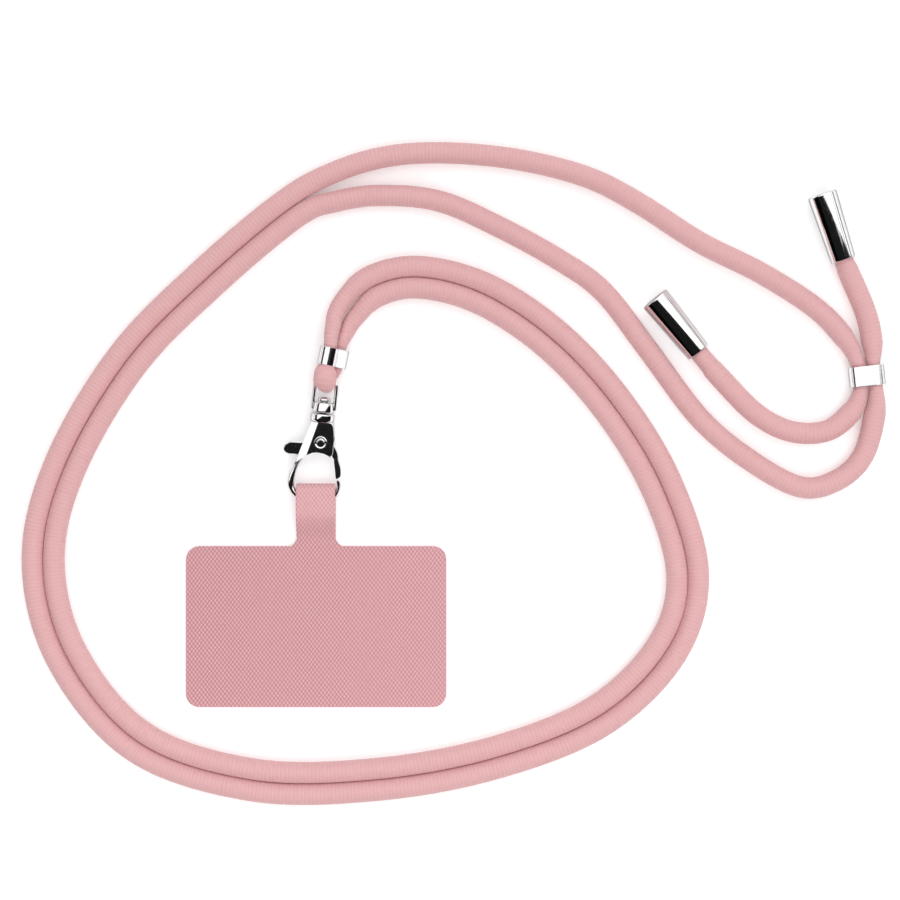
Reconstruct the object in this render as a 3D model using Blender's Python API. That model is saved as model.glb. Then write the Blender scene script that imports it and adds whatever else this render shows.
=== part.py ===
"""Phone crossbody strap: a woven card with a folded tab, a swivel clasp, and one adjustable round cord.

The strap lies on a flat surface. Metres, +Z up. The origin is on the surface, at the centre of the
card's underside. +X and +Y are the card's width and the direction of its tab.
"""

import math

import bmesh
import bpy
from mathutils import Matrix, Vector

# Driving dimensions in metres
GAP = 0.0003
CARD_WIDTH = 0.068
CARD_HEIGHT = 0.042
CARD_THICKNESS = 0.001
CARD_CORNER = 0.0035
TAB_WIDTH = 0.0102
TAB_LENGTH = 0.0165
TAB_FILLET = 0.0015
POCKET_DEPTH = 0.0075
POCKET_SLOPE = 0.0045
CORD_DIAMETER = 0.0052
CORD_PAIR_SPACING = 0.0056
BAND_WALL = 0.0004
SLIDER_LENGTH = 0.0052
CLAMP_LENGTH = 0.0047
CAP_LENGTH = 0.018
CAP_END_DIAMETER = 0.0076
CAP_MOUTH_DIAMETER = 0.0064
CAP_BORE_DEPTH = 0.0115
HOOK_RADIUS = 0.0065
HOOK_THICKNESS = 0.0016
BODY_THICKNESS = 0.004
BODY_LENGTH = 0.0125
LEVER_THICKNESS = 0.0015
LEVER_REACH = 0.0104
THUMB_LENGTH = 0.0096
THUMB_WIDTH = 0.0029
RIVET_HEAD_DIAMETER = 0.0034
RIVET_HEAD_HEIGHT = 0.0004
RIVET_DIAMETER = 0.0014
COLLAR_DIAMETER = 0.0062
COLLAR_LENGTH = 0.002
POST_DIAMETER = 0.0018
POST_HEAD_DIAMETER = 0.0034
POST_HEAD_LENGTH = 0.0011
EYE_BASE_DIAMETER = 0.0056
EYE_BASE_LENGTH = 0.0026
EYE_WIRE_DIAMETER = 0.001
EYE_WIDTH = 0.0067
EYE_LENGTH = 0.0072

# Where the strap lies: one photo pixel in metres, and the pixel that the origin stands at
PIXEL = 0.00026
ORIGIN_PIXEL = (315.5, 627.5)

# The clasp's place and lie
CLASP_PIXEL = (315.5, 483.0)
CLASP_TURN = math.radians(-6.1)
CLASP_PITCH = math.radians(3.65)
POCKET_ROOM = 0.0025
PIVOT_SIDE = 0.0003
PIVOT_ALONG = 0.0107

# How much the cord is squeezed, as shares of its diameter
SLIDER_SQUEEZE = 0.72
CLAMP_SQUEEZE = 0.66
CAP_SQUEEZE = 0.92
CORD_STEP = 3.0

# The cord's route: pixel across, pixel down, height of the centreline in cord radii, squeeze.
# It starts inside the first cap, and goes through the slider to where the two strands meet.
FROM_FIRST_CAP = [
    (831.8, 226.0, 1.33, CAP_SQUEEZE),
    (841.6, 254.0, 1.24, CAP_SQUEEZE),
    (850.0, 274.0, 1.05, 1.0),
    (866.5, 313.0, 1.0, 1.0),
    (873.0, 344.0, 1.04, 0.98),
    (873.4, 362.0, 1.1, SLIDER_SQUEEZE),
    (874.8, 375.2, 1.1, SLIDER_SQUEEZE),
    (876.4, 389.2, 1.1, SLIDER_SQUEEZE),
    (875.8, 412.0, 1.0, 1.0),
    (864.0, 455.0, 1.0, 1.0),
    (838.0, 480.0, 1.0, 1.0),
    (801.0, 487.0, 1.0, 1.0),
    (750.0, 460.0, 1.0, 1.0),
    (700.0, 418.0, 1.0, 1.0),
    (648.0, 349.0, 1.0, 1.0),
    (604.0, 292.0, 1.0, 1.0),
    (560.0, 260.0, 1.0, 1.0),
    (500.0, 227.0, 1.0, 1.0),
    (440.0, 201.0, 1.0, 1.0),
    (382.0, 195.0, 1.0, 1.0),
    (336.0, 201.0, 1.0, 1.0),
]
# The line between the two strands, from where they meet to the clamp: pixel across, pixel down,
# the outer and the inner strand's height in cord radii, squeeze, and their spacing's share.
BETWEEN_STRANDS = [
    (290.0, 208.5, 1.0, 1.0, 1.0, 1.0),
    (206.0, 279.0, 1.0, 1.0, 1.0, 1.0),
    (127.0, 360.0, 1.0, 1.0, 1.0, 1.0),
    (65.0, 465.0, 1.0, 1.0, 1.0, 1.0),
    (42.5, 560.0, 1.0, 1.0, 1.0, 1.0),
    (66.0, 656.0, 1.0, 1.0, 1.0, 1.0),
    (138.0, 742.0, 1.0, 1.0, 1.0, 1.0),
    (250.0, 780.0, 1.0, 1.0, 1.0, 1.0),
    (370.0, 780.5, 1.0, 1.0, 1.0, 1.0),
    (490.0, 759.5, 1.0, 1.0, 1.0, 1.0),
    (598.0, 717.0, 1.0, 1.0, 1.0, 1.0),
    (667.0, 650.0, 1.0, 1.0, 1.0, 1.0),
    (688.0, 575.0, 1.0, 1.0, 1.0, 1.0),
    (662.0, 486.0, 1.0, 1.0, 1.0, 1.0),
    (613.0, 405.0, 1.0, 1.0, 1.0, 1.0),
    (552.0, 339.0, 1.0, 1.0, 1.0, 1.0),
    (484.0, 294.0, 1.0, 1.0, 1.0, 1.0),
    (420.0, 277.0, 1.0, 1.0, 1.0, 1.0),
    (374.0, 286.0, 1.1, 1.0, 1.0, 1.0),
    (348.0, 311.0, 1.5, 1.0, 0.92, 0.9),
    (339.0, 332.0, 1.95, 1.0, 0.78, 0.62),
]
# The clamp's two strands and the turn round the eye's bar are worked out from the clamp's place.
CLAMP_PIXEL = (333.0, 357.6)
CLAMP_DOWN_PIXEL = (330.6, 369.6)
CLAMP_ROLL = math.radians(52)
# From where the strands part again, through the slider, to inside the second cap.
TO_SECOND_CAP = [
    (336.0, 171.0, 1.0, 1.0),
    (390.0, 155.5, 1.0, 1.0),
    (450.0, 152.5, 1.0, 1.0),
    (520.0, 159.5, 1.0, 1.0),
    (588.0, 177.0, 1.0, 1.0),
    (640.0, 203.5, 1.0, 1.0),
    (700.0, 242.0, 1.0, 1.0),
    (760.0, 272.0, 1.0, 1.0),
    (815.0, 307.0, 1.0, 1.0),
    (845.0, 338.0, 1.04, 0.98),
    (857.9, 362.9, 1.1, SLIDER_SQUEEZE),
    (859.4, 376.9, 1.1, SLIDER_SQUEEZE),
    (860.9, 390.8, 1.1, SLIDER_SQUEEZE),
    (852.5, 411.0, 1.0, 1.0),
    (828.0, 430.5, 1.0, 1.0),
    (792.0, 431.5, 1.0, 1.0),
    (757.0, 414.0, 1.0, 1.0),
    (722.0, 379.0, 1.05, 1.0),
    (700.5, 354.5, 1.24, CAP_SQUEEZE),
    (676.5, 325.5, 1.33, CAP_SQUEEZE),
]
SLIDER_PIXEL = (867.1, 376.0)
SLIDER_DOWN_PIXEL = (868.2, 386.0)
FIRST_CAP_PIXELS = ((843.5, 260.0), (822.0, 195.0))
SECOND_CAP_PIXELS = ((698.5, 352.0), (654.5, 298.5))


def photo_place(pixel, height=0.0):
    """The place on the surface that a photo pixel shows."""
    across = (pixel[0] - ORIGIN_PIXEL[0]) * PIXEL
    up = (ORIGIN_PIXEL[1] - pixel[1]) * PIXEL
    return Vector((across, up, height))


def material(name, colour, roughness, metallic):
    made = bpy.data.materials.new(name)
    made.use_nodes = True
    shader = made.node_tree.nodes["Principled BSDF"]
    shader.inputs["Base Color"].default_value = (*colour, 1.0)
    shader.inputs["Roughness"].default_value = roughness
    shader.inputs["Metallic"].default_value = metallic
    return made


def add_object(name, mesh, made_of=None):
    placed = bpy.data.objects.new(name, mesh)
    bpy.context.scene.collection.objects.link(placed)
    if made_of is not None:
        placed.data.materials.append(made_of)
    return placed


def as_cutter(piece):
    piece.hide_render = True
    piece.display_type = "WIRE"
    return piece


def apply_boolean(target, other, operation):
    """Applies the Boolean to the target's mesh and removes the other object."""
    modifier = target.modifiers.new("Boolean", "BOOLEAN")
    modifier.operation = operation
    modifier.solver = "EXACT"
    modifier.object = other
    bpy.context.view_layer.update()
    graph = bpy.context.evaluated_depsgraph_get()
    result = bpy.data.meshes.new_from_object(target.evaluated_get(graph))
    target.modifiers.remove(modifier)
    target.data = result
    bpy.data.objects.remove(other)
    return target


def prism(name, outline, low, high, made_of=None):
    """A closed solid between two heights over an outline of (x, y) points that runs anticlockwise."""
    shape = bmesh.new()
    corners = [shape.verts.new((x, y, low)) for x, y in outline]
    floor = shape.faces.new(corners)
    raised = bmesh.ops.extrude_face_region(shape, geom=[floor])
    moved = [part for part in raised["geom"] if isinstance(part, bmesh.types.BMVert)]
    bmesh.ops.translate(shape, verts=moved, vec=(0, 0, high - low))
    bmesh.ops.recalc_face_normals(shape, faces=shape.faces)
    mesh = bpy.data.meshes.new(name)
    shape.to_mesh(mesh)
    shape.free()
    return add_object(name, mesh, made_of)


def turned(name, profile, sides, made_of=None):
    """A closed solid turned about Z. The profile's (radius, height) points end on the axis."""
    shape = bmesh.new()
    rings = []
    for radius, height in profile:
        if radius == 0:
            rings.append([shape.verts.new((0, 0, height))])
            continue
        ring = []
        for step in range(sides):
            angle = 2 * math.pi * step / sides
            ring.append(shape.verts.new((radius * math.cos(angle), radius * math.sin(angle), height)))
        rings.append(ring)
    for first, second in zip(rings, rings[1:]):
        for step in range(sides):
            after = (step + 1) % sides
            corners = [first[step % len(first)], second[step % len(second)]]
            corners += [second[after % len(second)], first[after % len(first)]]
            shape.faces.new(list(dict.fromkeys(corners)))
    bmesh.ops.recalc_face_normals(shape, faces=shape.faces)
    mesh = bpy.data.meshes.new(name)
    shape.to_mesh(mesh)
    shape.free()
    mesh.shade_smooth()
    mesh.set_sharp_from_angle(angle=math.radians(35))
    return add_object(name, mesh, made_of)


def bar(name, radius, low, high, sides):
    """A plain round bar along Z."""
    return turned(name, [(0, low), (radius, low), (radius, high), (0, high)], sides)


def arc(centre, radius, first_degrees, last_degrees, steps):
    """Points on an arc, both ends included."""
    spread = last_degrees - first_degrees
    angles = [math.radians(first_degrees + spread * step / steps) for step in range(steps + 1)]
    return [(centre[0] + radius * math.cos(a), centre[1] + radius * math.sin(a)) for a in angles]


def move_mesh(piece, matrix):
    piece.data.transform(matrix)
    piece.data.update()
    return piece


def smooth_point(before, first, second, after, share):
    """A point on the Catmull-Rom curve between first and second, for rows of any length."""
    made = []
    for a, b, c, d in zip(before, first, second, after):
        slope_in, slope_out = (c - a) / 2, (d - b) / 2
        cubic = 2 * b - 2 * c + slope_in + slope_out
        square = 3 * c - 3 * b - 2 * slope_in - slope_out
        made.append(((cubic * share + square) * share + slope_in) * share + b)
    return made


def smooth_rows(rows, step):
    """Rows on a smooth curve through the given rows, about a step apart, which keeps the given rows."""
    made = []
    for index in range(len(rows) - 1):
        first, second = rows[index], rows[index + 1]
        before = rows[max(index - 1, 0)]
        after = rows[min(index + 2, len(rows) - 1)]
        length = (Vector(second[:3]) - Vector(first[:3])).length
        parts = max(1, round(length / step))
        made += [smooth_point(before, first, second, after, part / parts) for part in range(parts)]
    return made + [list(rows[-1])]


# The clasp's own frame: X across, Y towards the swivel, Z out of its flat side
clasp_height = CARD_THICKNESS + POCKET_ROOM / 2 + 0.00015
clasp_frame = (
    Matrix.Translation(photo_place(CLASP_PIXEL, clasp_height))
    @ Matrix.Rotation(CLASP_TURN, 4, "Z")
    @ Matrix.Rotation(CLASP_PITCH, 4, "X")
)
to_pivot = Matrix.Translation((PIVOT_SIDE, PIVOT_ALONG, 0))
body_top = PIVOT_ALONG + BODY_LENGTH * 0.44
collar_top = body_top + COLLAR_LENGTH
eye_base_low = collar_top + GAP
eye_base_top = eye_base_low + EYE_BASE_LENGTH
eye_arch_radius = (EYE_WIDTH - EYE_WIRE_DIAMETER) / 2
eye_bar_along = eye_base_top + EYE_LENGTH - EYE_WIRE_DIAMETER / 2


def build_card(made_of):
    """The card with rounded corners, and its tab, folded back over the clasp's hook as a flat pocket."""
    half_width, half_height, half_tab = CARD_WIDTH / 2, CARD_HEIGHT / 2, TAB_WIDTH / 2
    tab_end = half_height + TAB_LENGTH
    corner = CARD_CORNER
    nose = (POCKET_ROOM + 2 * CARD_THICKNESS) / 2
    outline = arc((-half_width + corner, -half_height + corner), corner, 180, 270, 6)
    outline += arc((half_width - corner, -half_height + corner), corner, 270, 360, 6)
    outline += arc((half_width - corner, half_height - corner), corner, 0, 90, 6)
    outline += arc((half_tab + TAB_FILLET, half_height + TAB_FILLET), TAB_FILLET, 270, 180, 4)
    outline += [(half_tab, tab_end - nose), (-half_tab, tab_end - nose)]
    outline += arc((-half_tab - TAB_FILLET, half_height + TAB_FILLET), TAB_FILLET, 0, -90, 4)
    outline += arc((-half_width + corner, half_height - corner), corner, 90, 180, 6)
    card = prism("phone_card", outline, 0, CARD_THICKNESS, made_of)

    pocket_end = tab_end - POCKET_DEPTH
    slope_end = pocket_end - POCKET_SLOPE
    inner = POCKET_ROOM / 2
    profile = [(slope_end, 0), (slope_end, CARD_THICKNESS * 1.05)]
    profile += [(pocket_end, 2 * nose)]
    profile += arc((tab_end - nose, nose), nose, 90, -90, 10)
    fold = prism("fold", profile[::-1], -half_tab, half_tab)
    turn = Matrix(((0, 0, 1, 0), (1, 0, 0, 0), (0, 1, 0, 0), (0, 0, 0, 1)))
    move_mesh(fold, turn)
    room_end = pocket_end - POCKET_SLOPE * 0.2
    room = [(room_end, CARD_THICKNESS * 1.3), (pocket_end, 2 * nose - CARD_THICKNESS)]
    room += arc((tab_end - nose, nose), inner, 90, -90, 8)
    room += [(room_end, CARD_THICKNESS)]
    hollow = as_cutter(prism("hollow", room[::-1], -half_tab * 1.2, half_tab * 1.2))
    move_mesh(hollow, turn)
    apply_boolean(card, fold, "UNION")
    apply_boolean(card, hollow, "DIFFERENCE")
    return card


# The hook's ring: degrees from +X, outer and inner edge as shares of its radius
HOOK_SECTIONS = [
    (126, 1.2, 1.1),
    (134, 1.16, 1.04),
    (143, 1.12, 0.98),
    (158, 1.12, 0.9),
    (172, 1.13, 0.87),
    (184, 1.13, 0.87),
    (196, 1.11, 0.875),
    (208, 1.06, 0.83),
    (222, 1.0, 0.77),
    (245, 0.96, 0.74),
    (270, 0.94, 0.72),
    (295, 0.95, 0.73),
    (318, 0.97, 0.76),
    (335, 1.0, 0.8),
    (348, 1.0, 0.85),
    (360, 1.0, 0.845),
    (378, 0.98, 0.82),
]
# The body's flat sides: across as a share of its hook's radius, along as a share of the body's length
BODY_OUTLINE = [
    (0.42, 0.44),
    (-0.42, 0.44),
    (-0.52, 0.2),
    (-0.76, -0.22),
    (-0.94, -0.52),
    (-0.72, -0.42),
    (-0.5, -0.27),
    (-0.25, -0.205),
    (0.0, -0.19),
    (0.25, -0.205),
    (0.47, -0.29),
    (0.58, -0.22),
    (0.56, 0.1),
    (0.5, 0.36),
]


def build_hook(made_of):
    """The clasp's hook, its body with a slot for the lever, the collar and the swivel's post."""
    outer = []
    inner = []
    for degrees, outer_share, inner_share in HOOK_SECTIONS:
        across = HOOK_RADIUS * math.cos(math.radians(degrees))
        along = HOOK_RADIUS * math.sin(math.radians(degrees))
        outer.append((outer_share * across, outer_share * along))
        inner.append((inner_share * across, inner_share * along))
    half = HOOK_THICKNESS / 2
    ring = prism("clasp_hook", outer + inner[::-1], -half, half, made_of)
    nose_room = as_cutter(bar("nose_room", LEVER_REACH + GAP, -BODY_THICKNESS, BODY_THICKNESS, 48))
    move_mesh(nose_room, to_pivot)
    side_outline = [
        (0, -HOOK_RADIUS / 2),
        (2 * HOOK_RADIUS, -HOOK_RADIUS / 2),
        (2 * HOOK_RADIUS, HOOK_RADIUS),
        (0, HOOK_RADIUS),
    ]
    side_limit = as_cutter(prism("side_limit", side_outline, -2 * half, 2 * half))
    apply_boolean(nose_room, side_limit, "INTERSECT")
    apply_boolean(ring, nose_room, "DIFFERENCE")

    outline = [(x * HOOK_RADIUS, PIVOT_ALONG + y * BODY_LENGTH) for x, y in BODY_OUTLINE]
    body = prism("body", outline, -BODY_THICKNESS / 2, BODY_THICKNESS / 2)
    slot_half = LEVER_THICKNESS / 2 + GAP * 0.7
    slot_low = PIVOT_ALONG - BODY_LENGTH * 0.33
    slot_top = PIVOT_ALONG + BODY_LENGTH * 0.27
    slot_outline = [
        (-2 * HOOK_RADIUS, slot_low),
        (2 * HOOK_RADIUS, slot_low),
        (2 * HOOK_RADIUS, slot_top),
        (-2 * HOOK_RADIUS, slot_top),
    ]
    slot = as_cutter(prism("slot", slot_outline, -slot_half, slot_half))
    apply_boolean(body, slot, "DIFFERENCE")
    hole = as_cutter(bar("hole", RIVET_DIAMETER / 2 + GAP / 2, -BODY_THICKNESS, BODY_THICKNESS, 16))
    move_mesh(hole, to_pivot)
    apply_boolean(body, hole, "DIFFERENCE")

    post = POST_DIAMETER / 2
    head = POST_HEAD_DIAMETER / 2
    collar = COLLAR_DIAMETER / 2
    head_low = eye_base_top + GAP
    profile = [
        (0, body_top - BODY_LENGTH * 0.03),
        (collar * 0.86, body_top - BODY_LENGTH * 0.03),
        (collar, body_top + COLLAR_LENGTH * 0.2),
        (collar, body_top + COLLAR_LENGTH * 0.8),
        (collar * 0.88, collar_top),
        (post, collar_top),
        (post, head_low),
        (head, head_low),
        (head, head_low + POST_HEAD_LENGTH * 0.5),
        (head * 0.6, head_low + POST_HEAD_LENGTH),
        (0, head_low + POST_HEAD_LENGTH),
    ]
    swivel = turned("swivel", profile, 20)
    move_mesh(swivel, Matrix.Rotation(math.radians(-90), 4, "X"))
    apply_boolean(ring, body, "UNION")
    apply_boolean(ring, swivel, "UNION")
    return move_mesh(ring, clasp_frame)


def build_rivet(made_of):
    """The rivet that the lever turns on, with a low dome over each flat side of the body."""
    shank = RIVET_DIAMETER / 2
    head = RIVET_HEAD_DIAMETER / 2
    face = BODY_THICKNESS / 2 + GAP / 3
    top = face + RIVET_HEAD_HEIGHT
    shoulder = face + RIVET_HEAD_HEIGHT * 0.6
    half_profile = [(shank, face), (head, face), (head * 0.92, shoulder), (head * 0.5, top), (0, top)]
    profile = [(radius, -height) for radius, height in half_profile[::-1]] + half_profile
    rivet = turned("lever_rivet", profile, 16, made_of)
    return move_mesh(rivet, clasp_frame @ to_pivot)


def build_lever(made_of):
    """The spring lever: a thumb piece on the left and the gate that closes the hook on the right."""
    hub = BODY_LENGTH * 0.15
    gate_outer = HOOK_RADIUS * 0.96 - PIVOT_SIDE
    gate_inner = HOOK_RADIUS * 0.79 - PIVOT_SIDE
    gate_middle = (gate_inner + gate_outer) / 2
    reach = LEVER_REACH
    thumb = THUMB_WIDTH / 2
    thumb_down = -THUMB_WIDTH * 0.8
    outline = [(x, -math.sqrt(reach**2 - x**2)) for x in (gate_inner, gate_middle, gate_outer)]
    outline += [
        (gate_outer * 0.83, -reach * 0.42),
        (gate_outer * 0.74, -reach * 0.22),
        (gate_outer * 0.5, -reach * 0.02),
        (hub * 0.9, hub * 0.8),
        (0, hub * 1.05),
        (-hub * 0.9, hub * 0.7),
        (-THUMB_LENGTH * 0.45, thumb_down + thumb),
    ]
    outline += arc((-THUMB_LENGTH + thumb, thumb_down), thumb, 90, 270, 6)
    outline += [
        (-THUMB_LENGTH * 0.5, thumb_down - thumb),
        (-hub, -hub * 1.25),
        (0, -hub * 1.15),
        (hub * 1.1, -hub * 1.2),
        (gate_inner * 0.72, -reach * 0.3),
        (gate_inner * 0.83, -reach * 0.5),
    ]
    half = LEVER_THICKNESS / 2
    lever = prism("clasp_lever", outline, -half, half, made_of)
    hole = as_cutter(bar("lever_hole", RIVET_DIAMETER / 2 + GAP / 2, -2 * half, 2 * half, 16))
    apply_boolean(lever, hole, "DIFFERENCE")
    lever.matrix_world = clasp_frame @ to_pivot
    return lever


def build_eye(made_of):
    """The swivel's eye: a wire loop on a round base that the post turns in."""
    wire = EYE_WIRE_DIAMETER / 2
    arch_low = eye_bar_along - eye_arch_radius
    start = eye_base_low + EYE_BASE_LENGTH * 0.45
    path = [(-eye_arch_radius, start), (-eye_arch_radius, (start + arch_low) / 2)]
    path += arc((0, arch_low), eye_arch_radius, 180, 0, 10)
    path += [(eye_arch_radius, (start + arch_low) / 2), (eye_arch_radius, start)]
    curve = bpy.data.curves.new("loop", "CURVE")
    curve.dimensions = "3D"
    curve.bevel_depth = wire
    curve.bevel_resolution = 2
    curve.use_fill_caps = True
    spline = curve.splines.new("POLY")
    spline.points.add(len(path) - 1)
    for point, (x, y) in zip(spline.points, path):
        point.co = (x, y, 0, 1)
    loop = add_object("loop", curve)
    bpy.context.view_layer.update()
    mesh = bpy.data.meshes.new_from_object(loop.evaluated_get(bpy.context.evaluated_depsgraph_get()))
    bpy.data.objects.remove(loop)
    eye = add_object("swivel_eye", mesh, made_of)
    bore = POST_DIAMETER / 2 + GAP / 2
    base = EYE_BASE_DIAMETER / 2
    profile = [
        (0, eye_base_low),
        (base * 0.9, eye_base_low),
        (base, eye_base_low + EYE_BASE_LENGTH * 0.2),
        (base, eye_base_top - EYE_BASE_LENGTH * 0.3),
        (base * 0.8, eye_base_top),
        (0, eye_base_top),
    ]
    barrel = turned("barrel", profile, 20)
    bore_tool = as_cutter(bar("bore", bore, body_top, eye_bar_along - 2 * EYE_WIRE_DIAMETER, 20))
    upright = Matrix.Rotation(math.radians(-90), 4, "X")
    move_mesh(barrel, upright)
    move_mesh(bore_tool, upright)
    apply_boolean(eye, barrel, "UNION")
    head_room = POST_HEAD_DIAMETER / 2 + GAP
    head_end = eye_base_top + 2 * POST_HEAD_LENGTH
    head_tool = as_cutter(bar("head_room", head_room, eye_base_top, head_end, 20))
    move_mesh(head_tool, upright)
    apply_boolean(eye, bore_tool, "DIFFERENCE")
    apply_boolean(eye, head_tool, "DIFFERENCE")
    return move_mesh(eye, clasp_frame)


def band_frame(middle, downward, height):
    """A frame at a band's middle, with Y against the cord's direction of travel down the photo."""
    centre = photo_place(middle, height)
    along = photo_place(middle) - photo_place(downward)
    turn = math.atan2(along.y, along.x) - math.pi / 2
    return Matrix.Translation(centre) @ Matrix.Rotation(turn, 4, "Z")


def strand_offset(squeeze):
    """From a band's middle to the centre of each of its two strands."""
    return CORD_DIAMETER / 2 * squeeze + GAP / 2


def build_band(name, frame, squeeze, length, made_of):
    """A sheet-metal band bent round two squeezed strands of cord."""
    offset = strand_offset(squeeze)
    inner = CORD_DIAMETER / 2 * squeeze + GAP
    outer = inner + BAND_WALL
    outside = arc((offset, 0), outer, -90, 90, 8) + arc((-offset, 0), outer, 90, 270, 8)
    inside = arc((offset, 0), inner, -90, 90, 8) + arc((-offset, 0), inner, 90, 270, 8)
    band = prism(name, outside, -length / 2, length / 2, made_of)
    room = as_cutter(prism("room", inside, -length, length))
    apply_boolean(band, room, "DIFFERENCE")
    move_mesh(band, Matrix.Rotation(math.radians(-90), 4, "X"))
    return move_mesh(band, frame)


def build_cap(name, mouth_and_end, made_of):
    """A tapered metal cap that the cord's end is glued into, lying on the surface."""
    mouth, end = mouth_and_end
    mouth_radius, end_radius = CAP_MOUTH_DIAMETER / 2, CAP_END_DIAMETER / 2
    bore = CORD_DIAMETER / 2 * CAP_SQUEEZE + GAP
    lip = (mouth_radius - bore) * 0.4
    profile = [
        (0, CAP_BORE_DEPTH),
        (bore, CAP_BORE_DEPTH),
        (bore, 0),
        (mouth_radius - lip, 0),
        (mouth_radius, lip),
        (end_radius, CAP_LENGTH - lip * 2),
        (end_radius - lip * 2, CAP_LENGTH),
        (0, CAP_LENGTH),
    ]
    cap = turned(name, profile, 20, made_of)
    low, high = photo_place(mouth, mouth_radius), photo_place(end, end_radius)
    turn = (high - low).to_track_quat("Z", "Y").to_matrix().to_4x4()
    place = Matrix.Translation(low + Vector((0, 0, GAP / 3)))
    return move_mesh(cap, place @ turn)


def free_rows(rows):
    """Route rows as x, y, z and squeeze, in metres."""
    made = []
    for across, down, lift, squeeze in rows:
        made.append([*photo_place((across, down), lift * CORD_DIAMETER / 2), squeeze])
    return made


def strand_rows(side):
    """One strand of the pair, on the given side of the line between the strands."""
    line = [photo_place((row[0], row[1])) for row in BETWEEN_STRANDS]
    line.append(photo_place(CLAMP_PIXEL))
    made = []
    for index, (_, _, outer_lift, inner_lift, squeeze, spacing) in enumerate(BETWEEN_STRANDS):
        lift = inner_lift if side > 0 else outer_lift
        run = line[index + 1] - line[max(index - 1, 0)]
        across = Vector((-run.y, run.x, 0)).normalized()
        place = line[index] + across * side * spacing * CORD_PAIR_SPACING / 2
        made.append([place.x, place.y, lift * CORD_DIAMETER / 2, squeeze])
    return made


clamp_radius = CORD_DIAMETER / 2 * CLAMP_SQUEEZE
bar_place = clasp_frame @ Vector((0, eye_bar_along, 0))
clamp_frame = band_frame(CLAMP_PIXEL, CLAMP_DOWN_PIXEL, bar_place.z)
clamp_frame = clamp_frame @ Matrix.Rotation(CLAMP_ROLL, 4, "Y")
slider_height = CORD_DIAMETER / 2 * SLIDER_SQUEEZE + GAP * 1.4 + BAND_WALL
slider_frame = band_frame(SLIDER_PIXEL, SLIDER_DOWN_PIXEL, slider_height)


def turn_rows():
    """Down one side of the clamp, round the eye's bar, and up the other side."""
    offset = strand_offset(CLAMP_SQUEEZE)
    reach = CLAMP_LENGTH * 0.62
    left = [clamp_frame @ Vector((-offset, step, 0)) for step in (reach, -reach)]
    right = [clamp_frame @ Vector((offset, step, 0)) for step in (reach, -reach)]
    round_bar = EYE_WIRE_DIAMETER / 2 + GAP + clamp_radius
    middle = clasp_frame @ Vector((0, eye_bar_along, 0))
    down = (clasp_frame @ Vector((0, 0, 0)) - middle).normalized()
    side_room = EYE_WIDTH / 2 - EYE_WIRE_DIAMETER - clamp_radius - GAP
    turn = []
    for degrees in (-92, -55, -18, 18, 55, 92):
        angle = math.radians(degrees)
        raised = Vector((-side_room, 0, round_bar)) * math.sin(angle)
        turn.append(middle + down * round_bar * math.cos(angle) + raised)
    places = [*right, *turn, *left[::-1]]
    return [[*place, CLAMP_SQUEEZE] for place in places]


def cord_rows():
    inner = strand_rows(1)
    outer = strand_rows(-1)
    return free_rows(FROM_FIRST_CAP) + inner + turn_rows() + outer[::-1] + free_rows(TO_SECOND_CAP)


def build_cord(made_of):
    """The one cord, from cap to cap, as a tube on points of a smooth curve through its route."""
    rows = smooth_rows(cord_rows(), CORD_STEP * CORD_DIAMETER)
    curve = bpy.data.curves.new("strap_cord", "CURVE")
    curve.dimensions = "3D"
    curve.bevel_depth = CORD_DIAMETER / 2
    curve.bevel_resolution = 3
    curve.use_fill_caps = True
    spline = curve.splines.new("POLY")
    spline.points.add(len(rows) - 1)
    for point, (x, y, z, squeeze) in zip(spline.points, rows):
        point.co = (x, y, z, 1)
        point.radius = squeeze
    return add_object("strap_cord", curve, made_of)


def main():
    for piece in list(bpy.data.objects):
        bpy.data.objects.remove(piece)
    card_cloth = material("card_cloth", (0.72, 0.42, 0.43), 0.85, 0.0)
    cord_cloth = material("cord_cloth", (0.76, 0.46, 0.47), 0.8, 0.0)
    metal = material("silver_metal", (0.8, 0.8, 0.8), 0.15, 1.0)
    build_card(card_cloth)
    build_hook(metal)
    build_rivet(metal)
    build_lever(metal)
    build_eye(metal)
    build_band("slider_band", slider_frame, SLIDER_SQUEEZE, SLIDER_LENGTH, metal)
    build_band("clamp_band", clamp_frame, CLAMP_SQUEEZE, CLAMP_LENGTH, metal)
    build_cap("cord_cap_1", FIRST_CAP_PIXELS, metal)
    build_cap("cord_cap_2", SECOND_CAP_PIXELS, metal)
    build_cord(cord_cloth)


main()
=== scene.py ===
"""Looks of the phone crossbody strap: the braided cord, the woven card, and the polished metal pieces.

Metres, +Z up. Every piece is placed by the same named sizes as its solid.
"""

import math

import bmesh
import bpy
from mathutils import Matrix, Vector


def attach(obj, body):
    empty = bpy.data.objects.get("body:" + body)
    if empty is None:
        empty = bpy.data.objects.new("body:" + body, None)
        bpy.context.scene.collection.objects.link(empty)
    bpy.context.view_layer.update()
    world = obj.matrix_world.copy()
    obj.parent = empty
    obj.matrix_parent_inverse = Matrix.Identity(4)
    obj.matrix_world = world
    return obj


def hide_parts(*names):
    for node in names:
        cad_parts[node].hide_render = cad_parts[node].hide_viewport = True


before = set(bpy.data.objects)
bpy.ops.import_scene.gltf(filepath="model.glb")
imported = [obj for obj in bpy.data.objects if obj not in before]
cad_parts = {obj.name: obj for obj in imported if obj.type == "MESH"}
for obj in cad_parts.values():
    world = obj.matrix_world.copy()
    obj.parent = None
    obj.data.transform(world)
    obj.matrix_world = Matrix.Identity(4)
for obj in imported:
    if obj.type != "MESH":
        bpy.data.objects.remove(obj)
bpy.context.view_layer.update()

# Sizes that the solids share
GAP = 0.0003
CARD_WIDTH = 0.068
CARD_HEIGHT = 0.042
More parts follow.
